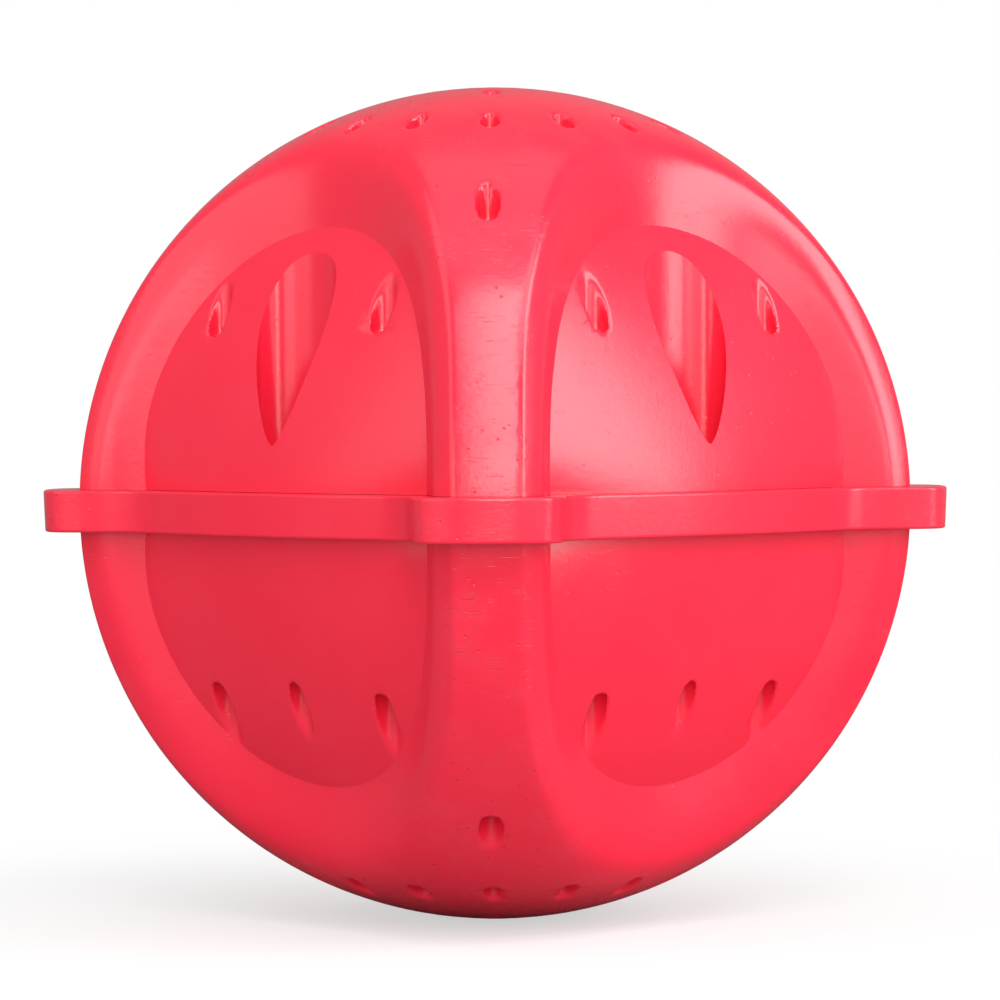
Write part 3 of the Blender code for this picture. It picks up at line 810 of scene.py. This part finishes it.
def gripTree():
    # a ring of upright rods, which press the finger grip into the lid's side
    tree, given = startTree("lid grip", {
        "ringRadius": "Float", "rodRadius": "Float", "bottom": "Float", "top": "Float",
        "count": "Int", "sides": "Int",
    }, {"Geometry": "Geometry"})
    values = {name: given[name] for name in ("bottom", "top")}
    followRecipe(tree, values, [
        ("tall", "SUBTRACT", "top", "bottom"),
        ("middle", "ADD", "top", "bottom"),
        ("middle", "MULTIPLY", "middle", 0.5),
    ])
    rod = addNode(tree, "GeometryNodeMeshCylinder", {}, {
        "Vertices": given["sides"], "Radius": given["rodRadius"], "Depth": values["tall"]})
    ring = addNode(tree, "GeometryNodeMeshCircle", {}, {
        "Vertices": given["count"], "Radius": given["ringRadius"]})
    lift = addNode(tree, "ShaderNodeCombineXYZ", {}, {2: values["middle"]})
    ring = addNode(tree, "GeometryNodeTransform", {}, {"Geometry": ring, "Translation": lift})
    rods = addNode(tree, "GeometryNodeInstanceOnPoints", {}, {"Points": ring, "Instance": rod})
    rods = addNode(tree, "GeometryNodeRealizeInstances", {}, {"Geometry": rods})
    scaled = addNode(tree, "GeometryNodeTransform", {}, {"Geometry": rods, "Scale": [millimetre] * 3})
    finished = addNode(tree, "GeometryNodeSetMaterial", {}, {"Geometry": scaled, "Material": capsuleWhite})
    addNode(tree, "NodeGroupOutput", {}, {0: finished})
    return tree


def capsuleLid():
    size = capsuleSizes
    outer, edge, spigot, top = size["radius"], size["edge"], size["lidSpigot"], size["lidTop"]
    end, dish = size["lidSpigotEnd"], top - size["dishDepth"]
    stub = dish + size["gateEdge"]
    outline = [(size["lidBore"], end), (spigot - size["spigotEdge"], end), (spigot, end + size["spigotEdge"]),
               (spigot, size["lidFace"]), (outer - size["faceEdge"], size["lidFace"]),
               (outer, size["lidFace"] + size["faceEdge"])]
    outline += roundedCorner((outer - edge, top - edge), edge, 0, 90)
    outline += [(size["dishRadius"], top), (size["dishRadius"] - size["dishDepth"], dish),
                (size["gateRadius"], dish), (size["gateRadius"] - size["gateEdge"], stub), (0, stub),
                (0, size["lidCeiling"]), (size["lidBore"], size["lidCeiling"])]
    lid = turnedMesh(outline, size["segments"], capsuleWhite)
    rods = grownFromTree(gripTree(), {
        "ringRadius": outer + size["gripRadius"] - size["gripDepth"], "rodRadius": size["gripRadius"],
        "bottom": size["lidFace"] - size["gripRun"], "top": size["gripTop"],
        "count": size["gripCount"], "sides": size["gripSides"]})
    return cutMesh(lid, rods)


def sealRing():
    size = capsuleSizes
    edge = size["sealEdge"]
    inner, outer = size["bore"] + edge, size["radius"] - edge
    low, high = size["sealBottom"] + edge, size["sealTop"] - edge
    outline = []
    for centre, start in (((inner, low), 180), ((outer, low), 270), ((outer, high), 0), ((inner, high), 90)):
        outline += roundedCorner(centre, edge, start, start + 90, 4)
    return turnedMesh(outline, size["segments"], sealBlack)


stackSizes = {  # millimetres
    "radius": 16.0,
    "bore": 2.8,
    "plate": 1.5,
    "magnet": 6.0,
    "gap": 0.3,
    "magnetCount": 4,
    "plateEdge": 0.15,
    "magnetEdge": 0.45,
    "segments": 96,
}


def chamferedRing(inner, outer, bottom, top, edge, material):
    outline = [(inner + edge, bottom), (outer - edge, bottom), (outer, bottom + edge), (outer, top - edge),
               (outer - edge, top), (inner + edge, top), (inner, top - edge), (inner, bottom + edge)]
    return turnedMesh(outline, stackSizes["segments"], material)


def stackTree():
    # copies of one ring up the axis, at an even pitch
    tree, given = startTree("stack", {
        "Geometry": "Geometry", "pitch": "Float", "count": "Int", "material": "Material",
    }, {"Geometry": "Geometry"})
    step = addNode(tree, "ShaderNodeCombineXYZ", {}, {2: given["pitch"]})
    line = addNode(tree, "GeometryNodeMeshLine", {"mode": "OFFSET"}, {
        "Count": given["count"], "Offset": step})
    rings = addNode(tree, "GeometryNodeInstanceOnPoints", {}, {
        "Points": line, "Instance": given["Geometry"]})
    rings = addNode(tree, "GeometryNodeRealizeInstances", {}, {"Geometry": rings})
    finished = addNode(tree, "GeometryNodeSetMaterial", {}, {
        "Geometry": rings, "Material": given["material"]})
    addNode(tree, "NodeGroupOutput", {}, {0: finished})
    return tree


pitch = stackSizes["plate"] + stackSizes["magnet"] + 2 * stackSizes["gap"]
stackBottom = -(stackSizes["magnetCount"] * pitch + stackSizes["plate"]) / 2
magnetBottom = stackBottom + stackSizes["plate"] + stackSizes["gap"]
copies = stackTree()


def stackedRings(bottom, kind, count, material):
    # the lowest ring of a kind, and its copies above
    size = stackSizes
    top = bottom + size[kind]
    ring = chamferedRing(size["bore"], size["radius"], bottom, top, size[kind + "Edge"], material)
    return grownFromTree(copies, {"pitch": pitch * millimetre, "count": count, "material": material}, ring)


magnetMesh = stackedRings(magnetBottom, "magnet", stackSizes["magnetCount"], ferriteGrey)
plateMesh = stackedRings(stackBottom, "plate", stackSizes["magnetCount"] + 1, zincSteel)


boltSizes = {  # millimetres
    "across": 8.0,
    "headBottom": -20.25,
    "headTop": -17.25,
    "radius": 2.5,
    "root": 2.12,
    "plainStep": 0.05,          # how much thinner the plain shank is than the thread
    "inHead": 1.0,              # how deep in the head the shank begins
    "thread": 0.8,              # pitch
    "threadStart": 12.0,
    "plainEnd": 0.6,            # before the thread, and where the step down to its root ends
    "stepEnd": 0.2,
    "threadEnd": 0.5,           # before the tip
    "point": 0.3,               # chamfer of the tip
    "end": 22.25,
    "shankSides": 40,
    "ringsPerTurn": 10,
    "nutBottom": 17.25,
    "nutTop": 21.25,
    "nutBore": 2.56,
    "boreEdge": 0.3,
    "mouthRun": 1.0,            # how far the bore's countersinks run out of the nut
    "clear": 0.1,               # the turning that bevels a hexagon's corners stays clear of its sides
    "lowBevel": (0.1, 0.4),     # how far in from the flats, and how high
    "headBevel": (0.2, 0.15),
    "segments": 72,
}


def hexagonPrism(across, bottom, top, material):
    reach = across / 2 / math.cos(math.pi / 6)
    turns = [math.pi / 3 * step for step in range(6)]
    shape = bmesh.new()
    addTube(shape, [[(reach * math.sin(turn), reach * math.cos(turn), height) for turn in turns]
                    for height in (bottom, top)])
    return finishedMesh(shape, "hexagon", material)


def bevelledHexagon(bottom, top, topBevel):
    # a hexagon whose corners are turned off at both ends
    size = boltSizes
    flat = size["across"] / 2
    corner = flat / math.cos(math.pi / 6) + size["clear"]
    lowInset, lowHeight = size["lowBevel"]
    topInset, topHeight = topBevel
    dome = turnedMesh([(0, bottom), (flat - lowInset, bottom), (corner, bottom + lowHeight),
                       (corner, top - topHeight), (flat - topInset, top), (0, top)],
                      size["segments"], boltSteel)
    return cutMesh(hexagonPrism(size["across"], bottom, top, boltSteel), dome, "INTERSECT")


def threadedShank():
    # a plain shank with a rolled thread at its end, as rings whose radius follows the helix
    size = boltSizes
    sides, start, end = size["shankSides"], size["threadStart"], size["end"]
    heights = [(size["headBottom"] + size["inHead"], "plain"), (start - size["plainEnd"], "plain"),
               (start - size["stepEnd"], "root")]
    steps = int((end - size["threadEnd"] - start) / size["thread"] * size["ringsPerTurn"])
    heights += [(start + step * size["thread"] / size["ringsPerTurn"], "thread") for step in range(steps + 1)]
    heights += [(end - size["point"], "root"), (end, "tip")]
    root = size["root"]
    radii = {"plain": size["radius"] - size["plainStep"], "root": root, "tip": root - size["point"]}
    rings = []
    for height, kind in heights:
        ring = []
        for step in range(sides):
            turn = 2 * math.pi * step / sides
            phase = (height / size["thread"] - step / sides) % 1.0
            helix = root + (size["radius"] - root) * (1 - abs(2 * phase - 1))
            radius = radii.get(kind, helix)
            ring.append((radius * math.cos(turn), radius * math.sin(turn), height))
        rings.append(ring)
    shape = bmesh.new()
    addTube(shape, rings, smoothSides=True)
    return finishedMesh(shape, "shank", boltSteel)


def clampBolt():
    head = bevelledHexagon(boltSizes["headBottom"], boltSizes["headTop"], boltSizes["headBevel"])
    return cutMesh(head, threadedShank(), "UNION")


def clampNut():
    size = boltSizes
    bottom, top, bore = size["nutBottom"], size["nutTop"], size["nutBore"]
    run, edge = size["mouthRun"], size["boreEdge"]
    mouth = bore + run + edge
    hole = turnedMesh([(0, bottom - run), (mouth, bottom - run), (bore, bottom + edge), (bore, top - edge),
                       (mouth, top + run), (0, top + run)], size["segments"], boltSteel)
    return cutMesh(bevelledHexagon(bottom, top, size["lowBevel"]), hole)


padSizes = {  # millimetres
    "inner": 6.0,
    "outer": 13.7,
    "edge": 0.5,
    "lower": (-20.25, -17.55),
    "upper": (17.25, 22.25),
}


def foamPad(place):
    return chamferedRing(padSizes["inner"], padSizes["outer"], *padSizes[place], padSizes["edge"], padFoam)


corePieces = [
    ("capsuleCup", capsuleCup(), "capsule_plastic", ["core_cup"]),
    ("capsuleLid", capsuleLid(), "capsule_plastic", ["core_lid"]),
    ("lidSeal", sealRing(), "seal_rubber", ["lid_seal"]),
    ("magnetStack", magnetMesh, "ferrite",
     ["ring_magnet_%d" % (step + 1) for step in range(stackSizes["magnetCount"])]),
    ("polePlates", plateMesh, "plate_steel",
     ["pole_plate_%d" % (step + 1) for step in range(stackSizes["magnetCount"] + 1)]),
    ("clampBolt", clampBolt(), "bolt_steel", ["core_bolt"]),
    ("clampNut", clampNut(), "bolt_steel", ["core_nut"]),
    ("lowerPad", foamPad("lower"), "pad_foam", ["lower_pad"]),
    ("upperPad", foamPad("upper"), "pad_foam", ["upper_pad"]),
]
for name, mesh, slot, nodes in corePieces:
    crispen(mesh, sharpTurns["core"])
    addPiece(name, mesh, "core", nodes)
    print(name, "made,", len(mesh.polygons), "faces")


# Camera

cameraSizes = {
    "distance": 394.0,          # millimetres from the ball's centre
    "lens": 146.7,
    "sensor": 36.0,
    "turn": 0.95,               # degrees to the right of the front rib
    "rise": 1.4,
    "roll": 0.27,
    "aimRight": 0.504,          # millimetres
    "aimUp": 0.285,
}


def toSpot(turn, rise):
    # unit vector from the ball's middle, by degrees to the right of the front rib and degrees up
    turn, rise = math.radians(turn), math.radians(rise)
    return Vector((math.cos(rise) * math.sin(turn), -math.cos(rise) * math.cos(turn), math.sin(rise)))


cameraData = bpy.data.cameras.new("photoCamera")
cameraData.lens = cameraSizes["lens"]
cameraData.sensor_width = cameraSizes["sensor"]
cameraData.sensor_fit = "HORIZONTAL"
camera = bpy.data.objects.new("photoCamera", cameraData)
scene.collection.objects.link(camera)
camera.location = toSpot(cameraSizes["turn"], cameraSizes["rise"]) * cameraSizes["distance"] * millimetre
aim = Vector((cameraSizes["aimRight"] * millimetre, 0, cameraSizes["aimUp"] * millimetre))
toward = (aim - camera.location).to_track_quat("-Z", "Y").to_matrix()
camera.rotation_euler = (toward @ Matrix.Rotation(math.radians(-cameraSizes["roll"]), 3, "Z")).to_euler()
scene.camera = camera


# Light

lampDistance = 1.0  # metres
lampSizes = {  # degrees to the right and up, width and height in metres, watts
    "keyHigh": (4, 39.5, 0.28, 0.75, 3.9),
    "keyLow": (4, 9.5, 0.28, 0.30, 1.65),
    "rightSide": (76, 21, 0.44, 0.79, 6.0),
    "rightHigh": (41, 49, 0.66, 0.46, 2.9),
    "rightLow": (30, 10, 0.50, 0.35, 0.9),
    "rightStrip": (50, 5, 0.30, 0.12, 0.44),
    "leftStrip": (-38, 5, 0.50, 0.12, 0.36),
    "leftLow": (-38, 10, 0.62, 0.35, 0.8),
    "leftWide": (-70, 33, 0.62, 1.30, 2.8),
    "top": (0, 89, 0.80, 0.80, 1.2),
}
for name, (turn, rise, width, height, power) in lampSizes.items():
    data = bpy.data.lights.new(name, "AREA")
    data.shape = "RECTANGLE"
    data.size = width
    data.size_y = height
    data.energy = power
    lamp = bpy.data.objects.new(name, data)
    spot = toSpot(turn, rise)
    lamp.location = spot * lampDistance
    lamp.rotation_euler = (-spot).to_track_quat("-Z", "Y").to_euler()
    scene.collection.objects.link(lamp)

studioTones = {
    "fill": 0.32,
    "mirroredFill": -0.10,      # added where the surroundings are seen mirrored
    "mirroredWhite": 0.10,      # share of the white background that is mirrored
}


def viewedRays(tree):
    # the kinds of ray, and one for the camera's own, also behind something clear
    rays = addNode(tree, "ShaderNodeLightPath").outputs
    viewed = addNode(tree, "ShaderNodeMath", {"operation": "MAXIMUM"}, {
        0: rays["Is Camera Ray"], 1: rays["Is Transmission Ray"]})
    return rays, viewed


world = bpy.data.worlds.new("studio")
world.use_nodes = True
scene.world = world
tree = world.node_tree
tree.nodes.clear()
rays, viewed = viewedRays(tree)
values = {"viewed": viewed, "glossy": rays["Is Glossy Ray"]}
followRecipe(tree, values, [
    ("mirrored", "MULTIPLY", "glossy", studioTones["mirroredWhite"]),
    ("white", "MAXIMUM", "viewed", "mirrored"),
    ("fill", "MULTIPLY_ADD", "glossy", studioTones["mirroredFill"], studioTones["fill"]),
])
fill = addNode(tree, "ShaderNodeBackground", {}, {"Color": (1, 1, 1, 1), "Strength": values["fill"]})
white = addNode(tree, "ShaderNodeBackground", {}, {"Color": (1, 1, 1, 1), "Strength": 1.0})
sky = addNode(tree, "ShaderNodeMixShader", {}, {0: values["white"], 1: fill, 2: white})
addNode(tree, "ShaderNodeOutputWorld", {}, {0: sky})

# a pale floor that fades into the white background away from the ball
floorSizes = {  # millimetres
    "height": -40.05,
    "radius": 900.0,
    "clear": 20.0,
    "fade": 105.0,
    "least": 0.5,               # share of white under the ball
    "tone": "#BCBCBC",
    "mirroredTone": "#6C6C6C",
    "viewedTone": "#F4F4F4",
    "sides": 96,
}
floorPaper = bpy.data.materials.new("matt white paper")
floorPaper.use_nodes = True
tree = floorPaper.node_tree
tree.nodes.clear()
rays, viewed = viewedRays(tree)
place = addNode(tree, "ShaderNodeTexCoord").outputs["Object"]
away = addNode(tree, "ShaderNodeVectorMath", {"operation": "LENGTH"}, {0: place}).outputs["Value"]
fade = addNode(tree, "ShaderNodeMapRange", {"interpolation_type": "SMOOTHSTEP"}, {
    0: away, 1: floorSizes["clear"] * millimetre, 2: floorSizes["fade"] * millimetre, 3: floorSizes["least"]})
share = addNode(tree, "ShaderNodeMath", {"operation": "MULTIPLY"}, {0: viewed, 1: fade})
tone = linear(floorSizes["tone"])
for ray, name in ((rays["Is Glossy Ray"], "mirroredTone"), (viewed, "viewedTone")):
    tone = addNode(tree, "ShaderNodeMix", {"data_type": "RGBA"}, {
        0: ray, 6: tone, 7: linear(floorSizes[name])}).outputs[2]
paper = addNode(tree, "ShaderNodeBsdfPrincipled", {}, {
    "Base Color": tone, "Roughness": 0.9, "Specular IOR Level": 0.2})
white = addNode(tree, "ShaderNodeEmission", {}, {"Color": (1, 1, 1, 1), "Strength": 1.0})
surface = addNode(tree, "ShaderNodeMixShader", {}, {0: share, 1: paper, 2: white})
addNode(tree, "ShaderNodeOutputMaterial", {}, {0: surface})
shape = bmesh.new()
reach = floorSizes["radius"] * millimetre
bmesh.ops.create_circle(shape, cap_ends=True, segments=floorSizes["sides"], radius=reach)
bmesh.ops.translate(shape, verts=shape.verts, vec=(0, 0, floorSizes["height"] * millimetre))
floorMesh = bpy.data.meshes.new("floor")
shape.to_mesh(floorMesh)
shape.free()
floorMesh.materials.append(floorPaper)
floor = bpy.data.objects.new("floor", floorMesh)
scene.collection.objects.link(floor)
scene.view_settings.view_transform = "Standard"
